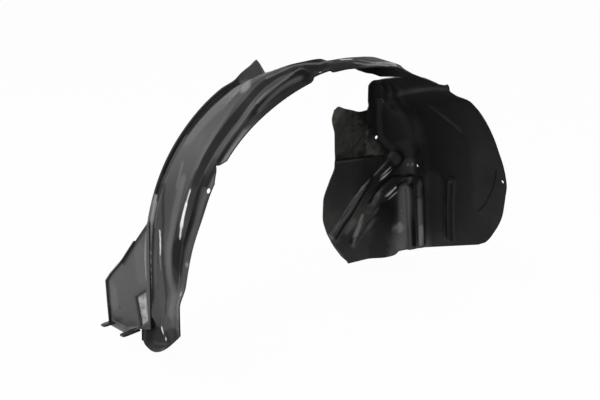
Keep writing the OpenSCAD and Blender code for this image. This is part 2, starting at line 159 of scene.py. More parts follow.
# Depth of the crest, offset of the far edge, depth of the outboard lip and turn of the housing's rows at
# its full depth, by station
CREST_Y = [(62, 146), (70, 125), (80, 85), (90, 46), (98, 38), (106, 42), (120, 54), (135, 42), (150, 38),
           (167, 33), (192.5, 36)]
EDGE_Y = [(112, -20), (114, -18), (117, -10), (120, 0), (187.5, 0), (189.5, 30), (192.5, 27)]
LIP_Y = [(-9.2, 60), (-8.6, 40), (-6.5, 20), (-3, 6), (0, 1), (2, 0), (58.4, 0), (58.7, 38), (59.3, 47),
         (61.4, 64), (62.6, 76), (63.4, 98), (64.4, 98), (66, 74), (72, 50), (81, 0), (90, 0)]
ROW_DROP = [(-9.2, -19.6), (-5, -11), (0, -4), (10, -2), (20, -5), (35, -10), (48, -16.5), (57.8, -20),
            (63.5, -19), (72, -9), (84, 0)]
# Rise of the housing at its lip and at its rear wall, by station
REAR_LIP_RISE = [(-7, -10), (0, -4), (7, 3), (11, 8), (18, 6), (24, 3), (40, 2), (46, 0), (58, -5)]
REAR_WALL_RISE = [(-28, 5), (-10, -6), (0, -10), (10, -8), (30, -3), (60, -3)]
# Front edge, box, bend radius and the middles and half widths of both arms on the inner wall: (Z, value)
WALL_EDGE = [(-BOTTOM, 173), (-151, 153), (-115, 128), (-82, 112), (-50, 104), (-13, 105), (30, 120),
             (63, 133), (100, 131), (135, 130), (165, 123), (188, 129)]
BOX_EDGE = [(180, 213), (193, 218), (220, 219), (235, 222), (243, 236)]
BEND = [(-BOTTOM, BEND_R), (40, BEND_R), (80, 1.37 * BEND_R), (100, 1.8 * BEND_R), (140, 1.7 * BEND_R),
        (180, 1.4 * BEND_R)]
ARM_A = [(-BOTTOM, 200), (-104, 131), (-60, 164), (-10, 210), (30, 262), (56, 294), (100, 300), (183, 300)]
ARM_B = [(-BOTTOM, 250), (-126, 184), (-71, 226), (-54, 234), (-10, 282), (5, 330), (100, 340), (183, 345)]
ARM_A_HALF = [(-104, 9), (-10, 12), (56, 17)]
ARM_B_HALF = [(-126, 6), (-71, 8), (-54, 16), (-10, 18)]
# Upper edge of the inner wall beside the flap: its height, and its fall by the share of the way to the front
FLAP_TOP = 184.0
FLAP_FADE = 40
FLAP_LINE = [(0, -6), (0.2, -7), (0.5, 0), (0.7, 5), (0.88, 11), (1, 5)]
# Shallow notch in the edge of the roof's corner, in degrees, and sag of the housing's lower edge
CORNER_NOTCH = 1.5
SAG = 8.0
# Rises in their order across a row, depths of the panel's lines as shares of the leg's depth, and columns
# of the mesh between neighbours
FRONT_RISES = (LIP_RISE, FLANGE_RISE, STEP_1_RISE, STEP_2_RISE, CREST_RISE, INNER_RISE, MID_RISE, RIDGE_RISE,
               GROOVE_RISE, TROUGH_RISE, FOOT_RISE, EDGE_RISE)
FLANGE_STEPS = (0, 3, 8)
CREST_FALL = 1.5
CREST_SPREAD = 16
PANEL_SHARES = (0.54, 0.65, 0.76)
TROUGH_SHARE = 0.12
RIM_W = 3
SPLITS = (6, 3, 4, 18, 15, 8, 6, 6, 6, 5, 2)
TOP_COLS = 47
FRONT_COLS = sum(SPLITS) + 1
REAR_COLS = 34
WALL_KEYS = 8
WALL_CUTS = 5
FLAP_COLS = 27
BEND_COLS = 14
WALL_GAP = 3
WALL_ROOM = 15
# Pressed forms: the roof rib's ends as (station, depth), and lines on the inner wall with their widths
ROOF_RIB = [(37, 158), (29, 92)]
ROOF_RIB_H = 3
FLAP_H = 3
ARMS = [
    ([(292, 54), (262, 30), (210, -10), (164, -60), (134, -100)], 18),
    ([(322, 2), (282, -10), (234, -54)], 26),
    ([(226, -71), (184, -126)], 10),
    ([(294, 56), (292, 54)], 30),
]
# Holes through the sheet as (station, depth, radius), the first one in the tab, and one through the inner
# wall as (X, Z, radius)
HOLES = [(105, 7, 4.5), (151.1, 5.2, 4.5), (7, 267, 3), (12, 9, 3.5)]
WALL_HOLE = (241, 112, 4)
# Notch in the front flange: its station and its outline as (distance along the arch, depth)
NOTCH_STATION = 146
NOTCH_LINE = [(28, -4), (26, 0), (16, 8), (10.5, 13), (-15, 1.5), (-16, -4)]
# Wing: outline and window as (distance from the leg, height), with its turn, lean and root
WING_LINE = [(-6, 2), (32, -45), (67, -90), (102, -126), (116, -144), (113, -184), (109, -226), (60, -229),
             (25, -214), (-6, -205)]
WINDOW_LINE = [(33, -153), (5, -132), (-1, -190), (20, -208)]
WING_TURN = 18.6
WING_LEAN = 2.9
WING_ROOT = Vector((-ARCH_R - 12, LEG_DEPTH - 2, 80))
# Prongs: distance from the leg, height and length as a share of the outer one's
PRONGS = [(102, -226, 1), (30, -218, 1.5)]
PRONG_W = 14
PRONG_T = 3
# Camera in degrees and millimetres from the wheel's axis, its lens and film
CAMERA_TURN = 31.0
CAMERA_TILT = 19.2
CAMERA_AIM = Vector((-74.2, 100.0, 82.5))
CAMERA_DISTANCE = 1668.4
LENS = 54
FILM = 36
# Lamps in metres and watts: name, place, width, power and share of gloss
LAMPS = [
    ("key", (-1.3, -0.9, 2.0), 1.6, 21, 0.25),
    ("fill", (1.4, -1.6, 1.1), 1.4, 6, 0.1),
    ("back", (-1.6, 1.5, 1.2), 1.6, 12, 0.5),
]
LAMP_AIM = Vector((0, 0.1, -0.25))
FLOOR_HALF = 30
FLOOR_GAP = 0.002


# Smooth curves and steps
def secant(table, k):
    """Slope of a table between two neighbours."""
    (x0, y0), (x1, y1) = table[k], table[k + 1]
    return (y1 - y0) / (x1 - x0)


def slope(table, k):
    """Slope at a point of a table that never overshoots its values."""
    if k == 0 or k == len(table) - 1:
        return 0.0
    p, q = secant(table, k - 1), secant(table, k)
    return 0.0 if p * q <= 0 else 2 * p * q / (p + q)


def at(table, x):
    """Smooth value of a table of (place, value) pairs."""
    if x <= table[0][0]:
        return table[0][1]
    if x >= table[-1][0]:
        return table[-1][1]
    k = max(m for m in range(len(table) - 1) if table[m][0] <= x)
    (x0, y0), (x1, y1) = table[k], table[k + 1]
    w = x1 - x0
    u = (x - x0) / w
    h1 = (1 + 2 * u) * (1 - u) ** 2
    h2 = u * (1 - u) ** 2
    h3 = u * u * (3 - 2 * u)
    h4 = u * u * (u - 1)
    return h1 * y0 + h2 * w * slope(table, k) + h3 * y1 + h4 * w * slope(table, k + 1)


def step(lo, hi, x):
    """0 below lo, 1 above hi and smooth between them."""
    u = min(max((x - lo) / (hi - lo), 0), 1)
    return u * u * (3 - 2 * u)


def mix(p, q, u):
    return p + (q - p) * u


def band(lo, hi, x, f):
    """1 from lo to hi and 0 outside, with flanks of width f."""
    return step(lo - f / 2, lo + f / 2, x) * (1 - step(hi - f / 2, hi + f / 2, x))


def line_dist(x, z, line):
    """Distance from a point to a line of points."""
    p = Vector((x, z))
    best = 1e9
    for q, r in zip(line, line[1:]):
        q, d = Vector(q), Vector(r) - Vector(q)
        u = min(max((p - q).dot(d) / d.length_squared, 0), 1)
        best = min(best, (p - q - d * u).length)
    return best


def raised(x, z, line, width):
    """1 on a pressed arm of the inner wall and 0 beside it."""
    return 1 - step(width / 2, width / 2 + FLANK, line_dist(x, z, line))


# The mid surface, in millimetres from the wheel's axis
def on_path(a, rise, y):
    """Point at a station, a rise over the arch and a depth."""
    t = math.radians(min(max(a, 0), 180))
    out = Vector((math.cos(t), 0, math.sin(t)))
    drop = -(a - 180) * DEG_LEN if a > 180 else a * DEG_LEN if a < 0 else 0
    return out * (ARCH_R + rise) + Vector((0, y, drop))


def across(y):
    """How far the foot has dropped at a depth, 0 at the lip and 1 at the far edge."""
    return math.sin(math.pi / 2 * min(y / LEG_DEPTH, 1))


def front_keys(a):
    """Depth and rise of each line of the leg or the top band at a station."""
    lip = at(LIP_Y, a)
    end = LEG_DEPTH + at(EDGE_Y, a)
    crest = at(CREST_Y, a)
    depths = [lip] + [lip + FLANGE_W + more for more in FLANGE_STEPS]
    depths += [crest, crest + CREST_SPREAD * step(108, 116, a) + CREST_FALL]
    depths += [LEG_DEPTH * share for share in PANEL_SHARES]
    depths += [end - LEG_DEPTH * TROUGH_SHARE, end - RIM_W, end]
    return [(y, at(rise, a)) for y, rise in zip(depths, FRONT_RISES)]


def front_row(a, count):
    """Points of one row across the leg or the top band, as many as count."""
    keys = front_keys(a)
    row = []
    for n, p, q in zip(SPLITS, keys, keys[1:]):
        row += [(mix(p[0], q[0], m / n), mix(p[1], q[1], m / n)) for m in range(n)]
    row.append(keys[-1])
    tilt = FOOT_DROP * step(175, FOOT, a)
    return [on_path(a + tilt * across(y), rise, y) for y, rise in row[:count]]


def rear_rise(a, y):
    return mix(at(REAR_LIP_RISE, a), at(REAR_WALL_RISE, a), step(0, 85, y))


def rear_point(a, y):
    """Point of the housing's roof or rear wall on the row of a station."""
    dip = step(56.6, 58.4, a) * (1 - step(58.8, 59.2, a)) * step(0, 38, y) * (1 - step(41, 60, y))
    b = a + at(ROW_DROP, a) * y / DEPTH - CORNER_NOTCH * dip
    return on_path(b, rear_rise(b, y), y)


def in_order(keys, left, start):
    """Keys across the inner wall, kept in order and clear of its edges."""
    out = []
    for k, key in enumerate(keys):
        start = max(min(key, start - WALL_GAP), left + WALL_ROOM + WALL_GAP * (len(keys) - k))
        out.append(start)
    return out


def arm_keys(z):
    """Both sides of both arms at a height, each with the foot of its flank."""
    f = 2 * FLANK
    a, b = at(ARM_A, z), at(ARM_B, z)
    ah, bh = at(ARM_A_HALF, z), at(ARM_B_HALF, z)
    return [b + bh + f, b + bh, b - bh, b - bh - f, a + ah + f, a + ah, a - ah, a - ah - f]


def wall_z(x, z, lift):
    """Height of a point of the inner wall, lifted beside the flap and sagging at the lower edge."""
    sag = SAG * step(BOTTOM - 40, BOTTOM, -z) * step(220, 285, x) * (1 - step(303, 312, x))
    return z + lift * (1 - step(0, FLAP_FADE, abs(z - FLAP_TOP))) - sag


def rear_row(a):
    """Points of one row over the housing: roof or rear wall, bend, inner wall and flap."""
    corner = rear_point(a, DEPTH)
    z = corner.z
    y0 = at(LIP_Y, a)
    above = z > FLAP_TOP
    r = min(at(BEND, z), (corner.x - at(BOX_EDGE, max(z, 180))) * 0.7)
    reach = DEPTH - r
    left = at(WALL_EDGE, z)
    start = corner.x - r
    even = [mix(start, at(BOX_EDGE, z), k / WALL_KEYS) for k in range(1, WALL_KEYS + 1)]
    keys = even
    if not above:
        w = step(85, FLAP_TOP, z)
        keys = in_order([mix(line, ev, w) for line, ev in zip(arm_keys(z), even)], left, start)
    row = [rear_point(a, mix(y0, JOIN_Y, k / (TOP_COLS - 2))) for k in range(TOP_COLS - 1)]
    row += [rear_point(a, mix(JOIN_Y, reach, k / REAR_COLS)) for k in range(1, REAR_COLS + 1)]
    for k in range(1, BEND_COLS + 1):
        t = math.pi / 2 * k / BEND_COLS
        q = rear_point(a, reach + r * math.sin(t))
        row.append(Vector((q.x - r * (1 - math.cos(t)), q.y, q.z)))
    xs = [start] + keys
    for k in range(WALL_KEYS):
        for m in range(1, WALL_CUTS + 1):
            x = mix(xs[k], xs[k + 1], m / WALL_CUTS)
            lift = FLAP_LINE[0][1] * (k + m / WALL_CUTS) / WALL_KEYS
            row.append(Vector((x, DEPTH, wall_z(x, z, lift))))
    if not above:
        for k in range(1, FLAP_COLS + 1):
            x = mix(xs[WALL_KEYS], left, k / FLAP_COLS)
            row.append(Vector((x, DEPTH, wall_z(x, z, at(FLAP_LINE, k / FLAP_COLS)))))
    return row


def spread(a, b, gap):
    """Even stations from a up to, but without, b."""
    n = max(round(abs(a - b) / gap), 1)
    return [mix(a, b, k / n) for k in range(n)]


def sheet_rows():
    """Rows of the sheet, from the foot over the arch to the lower edge of the housing."""
    ear = PANEL_END + 7
    leg = spread(FOOT, 178.5, 0.4) + spread(178.5, ear, 0.6) + spread(ear, PANEL_END, 0.35) + [PANEL_END]
    top = spread(PANEL_END - 0.6, 64.6, 0.6)
    rear = spread(63.5, 59.3, 0.6) + [59.3, 58.98, 58.7] + spread(58.4, 2.4, 0.56)
    rear += spread(2.4, -9.2, 0.26) + [-9.2]
    rows = [front_row(a, FRONT_COLS) for a in leg]
    rows += [front_row(a, TOP_COLS) for a in top]
    return rows + [rear_row(a) for a in rear]


# Pressed forms, as a height toward the wheel
def station(p):
    """Station of a point of the sheet."""
    if p.z > 0:
        return math.degrees(math.atan2(p.z, p.x))
    return p.z / DEG_LEN if p.x > 0 else 180 - p.z / DEG_LEN


def ledge_line(y):
    """Station of the ledge across the roof at a depth."""
    return 53 - 15 * (y - 70) / 221


def roof_rib(a, y):
    """Height of the thin rib that runs aslant over the roof."""
    if not (80 < y < 170 and 25 < a < 41):
        return 0
    (a0, y0), (a1, y1) = ROOF_RIB
    w = min(max((y0 - y) / (y0 - y1), 0), 1)
    off = math.hypot((a - mix(a0, a1, w)) * DEG_LEN, y - mix(y0, y1, w))
    return ROOF_RIB_H * (1 - step(2.5, 6.5, off))


def rear_press(p, size):
    """Height of the housing's ribs, ledge, arms, flap and box at a point."""
    a, y, x, z = station(p), p.y, p.x, p.z
    rib = size.rib / MM
    h = rib * band(254, DEPTH - 8, y, FLANK) * (1 - step(0.5, 2.5, a))
    h += rib * band(148.5, 172.5, y, 0.8 * FLANK) * band(-17, 6, a, 2)
    h += roof_rib(a, y)
    inboard = step(DEPTH - 18, DEPTH - 3, y)
    line = ledge_line(y)
    h += (1 - inboard) * size.ledge / MM * (1 - step(line - 1.8, line, a)) * step(line - 12, line - 4, a)
    if inboard > 0:
        arms = max(raised(x, z, points, width) for points, width in ARMS)
        flap = FLAP_H * step(68, 80, z + 0.07 * (x - 133)) * (1 - step(195, 232, x))
        flank = 1.6 * FLANK
        box = -size.box / MM * band(220, 257, x, flank) * band(191, 231, z, flank)
        h += inboard * (rib * arms + flap + box)
    return h


def front_press(p, size):
    """Height of the foot's pocket at a point."""
    a, y = station(p), p.y
    edge = FOOT + FOOT_DROP * across(y)
    along = step(196.6, 198.6, a) * (1 - step(edge - 2.4, edge - 0.4, a))
    return size.pocket / MM * along * band(54, LEG_DEPTH - 3, y, 8)


def mid_point(a, y):
    """A point of the front flange or the housing on the mid surface, for the holes."""
    if a > 90:
        keys = front_keys(a)
        for p, q in zip(keys, keys[1:]):
            if y <= q[0]:
                return on_path(a, mix(p[1], q[1], (y - p[0]) / (q[0] - p[0])), y)
    q = on_path(a, rear_rise(a, y), y)
    r = at(BEND, q.z)
    t = max(y - DEPTH + r, 0)
    return q - Vector((r - math.sqrt(r * r - t * t), 0, 0))


def toward_wheel(a, y, gap=3):
    """Direction square to the sheet at a hole."""
    along = mid_point(a - 0.5, y) - mid_point(a + 0.5, y)
    return (mid_point(a, y + gap) - mid_point(a, y - gap)).cross(along).normalized()


ORIGIN = mid_point(*HOLES[0][:2])


def placed(p):
    """Millimetres from the wheel's axis to metres in the part's frame."""
    return (p - ORIGIN) * MM


# Strokes of painted highlight and of painted shade on the sheet, the shade strokes with a few real scuffs
# among them. Each has its side, width, softness, strength and points:
# "arch" points are [station, depth], "wall" points are [X, Z] on the inner wall.
# Painted highlights: light strokes where the sheet shows a glint or sheen, with two small pale marks beside
# the wall hole among them
PAINTED_HIGHLIGHTS = [
    # leg, along its rim and grooves
    ("arch", 1.5, 2, 0.16, [(118, 150.5), (150, 150.5), (160, 150.5)]),
    ("arch", 3, 2, 0.5, [(167, 150), (171, 150), (180, 150), (187, 151), (192, 151)]),
    ("arch", 1.6, 1.8, 0.40, [(159.7, 146.5), (164, 145.5), (167.5, 145), (171.2, 144.5), (173.4, 143.5)]),
    ("arch", 1.6, 1.8, 0.90, [(167.8, 96), (169.9, 92), (171.8, 90), (173.7, 89)]),
    ("arch", 1.6, 2, 0.12, [(173.7, 89), (178, 86)]),
    ("arch", 9, 8, 0.06, [(151.8, 65), (159.8, 61), (166.6, 58), (171.1, 62), (175, 61), (179.5, 56),
                          (184, 46)]),
    ("arch", 14, 10, 0.05, [(184, 44), (188, 40)]),
    ("arch", 3, 3, 0.06, [(147.9, 86), (151.1, 80), (154.2, 76)]),
    ("arch", 4.6, 2, 0.95, [(156.8, 35), (160.1, 37), (163.1, 38.5)]),
    ("arch", 1.5, 1.5, 0.85, [(153, 34), (156.6, 35)]),
    ("arch", 1.5, 1.5, 0.85, [(163.1, 38.5), (166.3, 38.5)]),
    ("arch", 4, 4, 0.07, [(151.3, 9), (158.1, 5), (165, 3), (172, 2.5), (178, 3.5), (187, 4)]),
    ("arch", 2, 2, 0.30, [(171.6, 2), (172.2, 2)]),
    ("arch", 2, 2, 0.30, [(180, 4), (180.5, 4)]),
    ("arch", 8, 3, 0.2, [(162, 145), (192, 145.5)]),
    ("arch", 26, 16, 0.045, [(119, 100), (124, 92), (129, 92), (134, 100), (140, 110)]),
    # flange
    ("arch", 4, 3, 0.035, [(125.4, 19), (129, 19.5), (133, 18.5), (138, 17.5), (142, 17.5)]),
    ("arch", 1.2, 1.6, 0.10, [(108.5, 22), (114.4, 16.5), (119.8, 16), (124.5, 17)]),
    ("arch", 1.2, 1.4, 0.06, [(110.4, 11), (116, 11.5), (120.9, 11.5), (126, 11)]),
    ("arch", 4, 3, 0.04, [(131, 5), (136, 3), (141, 2), (144, 1)]),
    # foot
    ("arch", 1, 2, 0.035, [(204.6, 133), (202.6, 101), (200, 66), (197.8, 40)]),
    ("arch", 1, 2, 0.03, [(204.6, 133), (206.5, 134)]),
    ("arch", 4.5, 2.5, 0.95, [(195.8, 79), (196.8, 72), (198.8, 73)]),
    # ear and pale patch below it
    ("arch", 24, 5, 0.075, [(112, 139), (117, 139)]),
    ("arch", 10, 8, 0.16, [(117, 112), (121, 80), (123, 60)]),
    # top band
    ("arch", 2, 3, 0.6, [(95.3, 32), (92, 31)]),
    ("arch", 1.5, 3, 0.14, [(92.9, 12), (89.7, 5), (85, 4), (82.5, 1)]),
    ("arch", 1.5, 3, 0.16, [(89.6, 24), (86.7, 13), (84.4, 9)]),
    ("arch", 1.5, 3, 0.10, [(117.5, 43), (112.5, 37), (106.5, 36), (102.8, 27), (99, 30)]),
    # roof and rear wall
    ("arch", 3, 4, 0.005, [(42, 249), (45.7, 183), (54.3, 66)]),
    ("arch", 5, 5, 0.004, [(39.2, 142), (34.4, 121), (30, 88)]),
    ("arch", 2.4, 2, 0.25, [(7.1, 280), (7.1, 280.4)]),
    ("arch", 2.2, 2, 0.2, [(7, 288), (7, 288.4)]),
    ("arch", 7, 4, 0.008, [(0, 252), (-5, 252)]),
    ("arch", 50, 14, 0.009, [(2, 206), (-24, 206)]),
    ("arch", 8, 4, 0.055, [(-5.8, 252), (-14, 253), (-24.2, 256)]),
    ("arch", 4, 5, 0.20, [(-17, 253), (-24.2, 256)]),
    ("arch", 2, 3, 0.02, [(7, 138), (-4, 139), (-16, 137)]),
    ("arch", 2, 3, 0.015, [(3, 233), (-4, 226), (-20, 227)]),
    # bend beside the arms
    ("wall", 9, 12, 0.085, [(314, -20), (318, -60), (320, -110), (322, -150)]),
    ("wall", 7, 9, 0.26, [(313, -108), (315, -120)]),
    ("wall", 5, 6, 0.2, [(304, -112), (322, -116)]),
    ("wall", 12, 12, 0.10, [(318, -132), (320, -160)]),
    ("wall", 3, 3, 0.05, [(322, 6), (322, 0)]),
    ("wall", 2.4, 2, 0.14, [(315, -73), (318, -73)]),
    # fold beside the flap
    ("wall", 9, 4, 0.018, [(246, 190), (246, 150), (252, 112), (266, 96), (284, 80)]),
    ("arch", 3, 4, 0.014, [(43, 272), (38.4, 281), (35, 284)]),
    # arms
    ("wall", 12, 8, 0.03, [(284, 64), (294, 52)]),
    ("wall", 2, 2, 0.7, [(256, 17), (282, 30)]),
    ("wall", 1.4, 1.8, 0.45, [(254, 24), (277, 39)]),
    ("wall", 2, 2, 0.7, [(271, -27), (294, -11)]),
    ("wall", 1.4, 1.8, 0.55, [(279, -38), (301, -26)]),
    ("wall", 3, 4, 0.05, [(206, 2), (188, -22), (165, -51), (140, -74), (122, -94)]),
    ("wall", 6, 5, 0.06, [(249, -20), (240, -33), (234, -40)]),
    ("wall", 3, 4, 0.05, [(246, -52), (239, -62)]),
    ("wall", 7, 6, 0.07, [(184, -74), (168, -95)]),
    ("wall", 4, 4, 0.17, [(208, -66), (198, -88), (188, -108)]),
    ("wall", 3, 3, 0.10, [(188, -108), (181, -128)]),
    ("wall", 5, 6, 0.05, [(238, -80), (226, -104)]),
    ("wall", 2, 2, 0.05, [(136, -125), (158, -152)]),
    ("wall", 3, 3, 0.12, [(121, -95), (126, -100)]),
]
# Painted shade: dark strokes where the sheet lies in shade or shows little sheen, with a few real scuffs
# among them
PAINTED_SHADE_AND_SCUFFS = [
    # leg
    ("arch", 12, 3, 0.85, [(118, 147), (125.5, 146)]),
    ("arch", 40, 4, 0.85, [(127, 129), (133.5, 131)]),
    ("arch", 14, 3, 0.85, [(134, 145), (140, 146)]),
    ("arch", 7, 2, 0.85, [(140, 148), (153, 149)]),
    ("arch", 1.5, 1.5, 0.4, [(153, 148.2), (164.1, 148), (174, 147.8), (190, 147.8)]),
    ("arch", 20, 5, 0.4, [(158, 138), (165, 127), (170, 125), (176, 125), (186, 128), (189, 130)]),
    ("arch", 5, 2, 0.4, [(175, 141.5), (189, 142)]),
    ("arch", 5, 2, 0.7, [(168, 113), (175.4, 113), (188, 113)]),
    ("arch", 2, 2, 0.6, [(168.9, 100), (175.9, 96), (185.2, 99)]),
    ("arch", 6, 4, 0.7, [(155.4, 112), (164.2, 90), (172.3, 82), (177.8, 76), (183.5, 71), (190, 66)]),
    ("arch", 2.5, 2, 0.6, [(148, 38), (151.8, 40), (157.5, 43.5), (162.4, 46), (165.2, 47.5), (168.5, 53)]),
    ("arch", 38, 4, 0.7, [(169.2, 30), (173.5, 28)]),
    ("arch", 22, 5, 0.7, [(174, 26), (179, 27)]),
    ("arch", 18, 6, 0.72, [(149, 27), (156, 23), (162, 21), (167, 20)]),
    ("arch", 12, 4, 0.85, [(106, 33), (109.5, 28), (112.5, 30), (115, 35), (120.5, 35), (125, 33),
                           (130, 31.5), (135, 30.5), (143, 30), (148, 28.5), (151, 28)]),
    ("arch", 3, 2, 0.7, [(110, 14), (118, 13.7), (126, 14), (133, 12.5), (139, 11.5), (143, 11)]),
    ("arch", 10, 3, 0.6, [(110, 4), (120, 5), (126, 5), (131, 8)]),
    # panel as a whole
    ("arch", 70, 20, 0.32, [(122, 92), (192, 78)]),
    # foot
    ("arch", 38, 5, 0.84, [(204.6, 160), (203.4, 137), (200.6, 98), (200, 92)]),
    ("arch", 26, 7, 0.85, [(199.4, 84), (197.2, 50)]),
    ("arch", 22, 8, 0.65, [(196, 44), (193.6, 16)]),
    # top band
    ("arch", 60, 12, 0.88, [(106, 20), (96, 30), (84, 56), (70, 96)]),
    ("arch", 12, 8, 0.6, [(95, 60), (88, 52), (80, 40)]),
    # scuffs
    ("arch", 0.8, 1.6, 0.7, [(127.4, 90), (127.0, 80)]),
    ("arch", 0.8, 1.6, 0.7, [(126.9, 76), (126.4, 62)]),
    ("arch", 0.8, 1.6, 0.6, [(126.2, 66), (125.2, 56)]),
    ("arch", 0.8, 1.6, 0.7, [(130.4, 92), (129.7, 80)]),
    ("arch", 0.8, 1.6, 0.7, [(129.4, 74), (128.2, 60)]),
    ("arch", 0.8, 1.6, 0.5, [(128.6, 84), (128.0, 74)]),
    ("arch", 0.6, 1.4, 0.5, [(122.6, 92), (122.2, 66)]),
    # rear housing as a whole: painted shade that takes away its sheen
    ("arch", 210, 26, 0.76, [(50, 108), (-30, 108)]),
    ("arch", 60, 80, 0.72, [(40, 0), (-20, 0)]),
    ("arch", 44, 14, 0.7, [(46, 282), (14, 282)]),
    ("wall", 60, 16, 0.7, [(272, 104), (262, 150), (252, 220)]),
    ("wall", 50, 14, 0.75, [(266, -70), (256, -160)]),
    ("wall", 80, 24, 0.55, [(160, -140), (220, -160)]),
    # rib beside the bend
    ("arch", 8, 3, 1.0, [(0, 276), (-7, 274), (-17, 275), (-25.7, 275)]),
    ("arch", 3, 3, 1.0, [(3.2, 262), (2.9, 250), (-0.5, 243), (-4, 240), (-13.4, 241), (-23.7, 246)]),
    ("arch", 2, 1.5, 1.0, [(-5.2, 250), (-5.2, 262)]),
    ("arch", 5, 3, 1.0, [(6.4, 161), (-4.8, 156), (-17.1, 160)]),
    ("arch", 2, 3, 1.0, [(8, 160), (8, 140)]),
    ("arch", 2, 3, 0.95, [(7.4, 136), (-15.8, 134)]),
    ("arch", 2, 3, 1.0, [(16.2, 20), (7.4, 35), (2.3, 48), (-0.9, 64)]),
    # arms
    ("wall", 3, 3, 1.0, [(330, 15), (317, 14), (284, 15), (255, -2), (241, -19), (226, -37)]),
    ("wall", 3, 3, 0.9, [(316, 58), (311, 50), (294, 38), (284, 30)]),
    ("wall", 2.5, 3, 0.8, [(304, 66), (313, 62), (316, 56)]),
    ("wall", 4, 3, 1.0, [(233, 25), (215, 1), (196, -24), (176, -53), (155, -75), (135, -102)]),
    ("wall", 3, 3, 0.9, [(321, 4), (305, -4), (289, -17), (273, -30)]),
    ("wall", 2.5, 2.5, 0.8, [(234, -71), (217, -84), (206, -107)]),
    ("wall", 2.5, 2.5, 0.7, [(199, -80), (188, -98), (180, -112)]),
    ("wall", 3, 3, 1.0, [(132, 76), (170, 75), (233, 72)]),
    ("wall", 2.5, 2, 1.0, [(164, 83), (190, 110), (212, 133), (224, 138)]),
]
# Station where the painted side changes from the outer to the wheel side
PAINT_TURN = 60
# Stations of the painted highlight dots that stand for the round bumps along the leg's rim, each with its
# strength
RIM_HIGHLIGHT_DOTS = [(176.2, 0.5), (177.7, 0.3), (179.2, 0.6), (181.7, 0.65), (183.9, 0.4), (185.9, 0.5), (187.6, 0.4)]
# Painted highlights and painted shade on the wing: points are [distance from the leg, height]
WING_PAINTED_HIGHLIGHTS = [
    ("wing", 400, 10, 0.035, [(50, -100), (50, -150)]),
    ("wing", 12, 22, 0.075, [(102, -155), (98, -185)]),
    ("wing", 3, 3, 0.20, [(104, -223), (62, -226), (30, -213)]),
    ("wing", 20, 20, 0.06, [(20, -60), (16, -110)]),
]
WING_PAINTED_SHADE = [
    ("wing", 8, 3, 0.9, [(4, -14), (33, -51), (66, -94)]),
    ("wing", 3, 3, 0.85, [(113, -148), (111, -184), (107, -222)]),
    ("wing", 5, 7, 0.4, [(96, -214), (70, -219), (40, -208)]),
    ("wing", 3, 2.5, 0.8, [(80, -188), (80, -189)]),
    ("wing", 2.5, 2.5, 0.9, [(34, -153), (5, -131)]),
    ("wing", 2, 2, 0.8, [(34, -153), (21, -208)]),
]


def sheet_spots(p, normal):
    """Where a point lies on each painted side: the outer side of the leg, the wheel side of the housing."""
    spots = {}
    turned = 1 if station(p) > PAINT_TURN else -1
    facing = Vector((p.x, 0, p.z)).normalized() * turned + Vector((0, -0.7, 0))
    if normal.dot(facing) < -0.1:
        return spots
    if p.x < 0 or p.y < DEPTH - 3:
        spots["arch"] = (station(p) * DEG_LEN, p.y)
    if p.x > 0 and p.y > DEPTH - BEND_R - 3:
        spots["wall"] = (p.x, p.z)
    return spots


def painted(strokes):
    """Function of the spots that gives the strongest stroke there."""
    ready = []
    for side, width, soft, strength, points in strokes:
        line = [(q[0] * DEG_LEN, q[1]) if side == "arch" else q for q in points]
        reach = width / 2 + soft
        low = (min(q[0] for q in line) - reach, min(q[1] for q in line) - reach)
        high = (max(q[0] for q in line) + reach, max(q[1] for q in line) + reach)
        ready.append((side, width, soft, strength, line, low, high))

    def weight(spots):
        best = 0.0
        for side, width, soft, strength, line, low, high in ready:
            if strength <= best or side not in spots:
                continue
            x, y = spots[side]
            if low[0] < x < high[0] and low[1] < y < high[1]:
                faded = step(width / 2, width / 2 + soft, line_dist(x, y, line))
                best = max(best, strength * (1 - faded))
        return best

    return weight


def paint_highlights_and_shade(obj, lights, darks, spots):
    """Write the strokes to the mesh as two attributes: one of painted highlight and one of painted shade."""
    for name, strokes in (("painted_highlight", lights), ("dark", darks)):
        weight = painted(strokes)
        values = obj.data.attributes.new(name, "FLOAT", "POINT").data
        for vert in obj.data.vertices:
            values[vert.index].value = weight(spots(vert.co, vert.normal))


# Small tools for meshes
def to_object(bm, name, materials):
    """Object of a bmesh, which it frees."""
    mesh = bpy.data.meshes.new(name)
    bm.to_mesh(mesh)
    bm.free()
    obj = bpy.data.objects.new(name, mesh)
    bpy.context.collection.objects.link(obj)
    for material in materials:
        mesh.materials.append(material)
    return obj


def apply_modifiers(obj):
    """Make the mesh what its modifiers show."""
    bpy.context.view_layer.update()
    deps = bpy.context.evaluated_depsgraph_get()
    mesh = bpy.data.meshes.new_from_object(obj.evaluated_get(deps))
    obj.modifiers.clear()
    obj.data = mesh


def smooth(obj, angle):
    """Shade softly, but for edges sharper than an angle in degrees."""
    obj.data.shade_smooth()
    obj.data.set_sharp_from_angle(angle=math.radians(angle))


def moved(geom):
    """The vertices among what an operator made."""
    return [part for part in geom if isinstance(part, bmesh.types.BMVert)]


def dress(obj):
    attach(obj, "root")
    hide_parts("liner")


def cutter(centre, axis, radius):
    """Round tool for a hole."""
    bm = bmesh.new()
    size = radius * MM
    bmesh.ops.create_cone(bm, cap_ends=True, segments=40, radius1=size, radius2=size, depth=0.024)
    turn = axis.to_track_quat("Z", "Y").to_matrix().to_4x4()
    bmesh.ops.transform(bm, matrix=Matrix.Translation(placed(centre)) @ turn, verts=bm.verts)
    return to_object(bm, "cut", [])


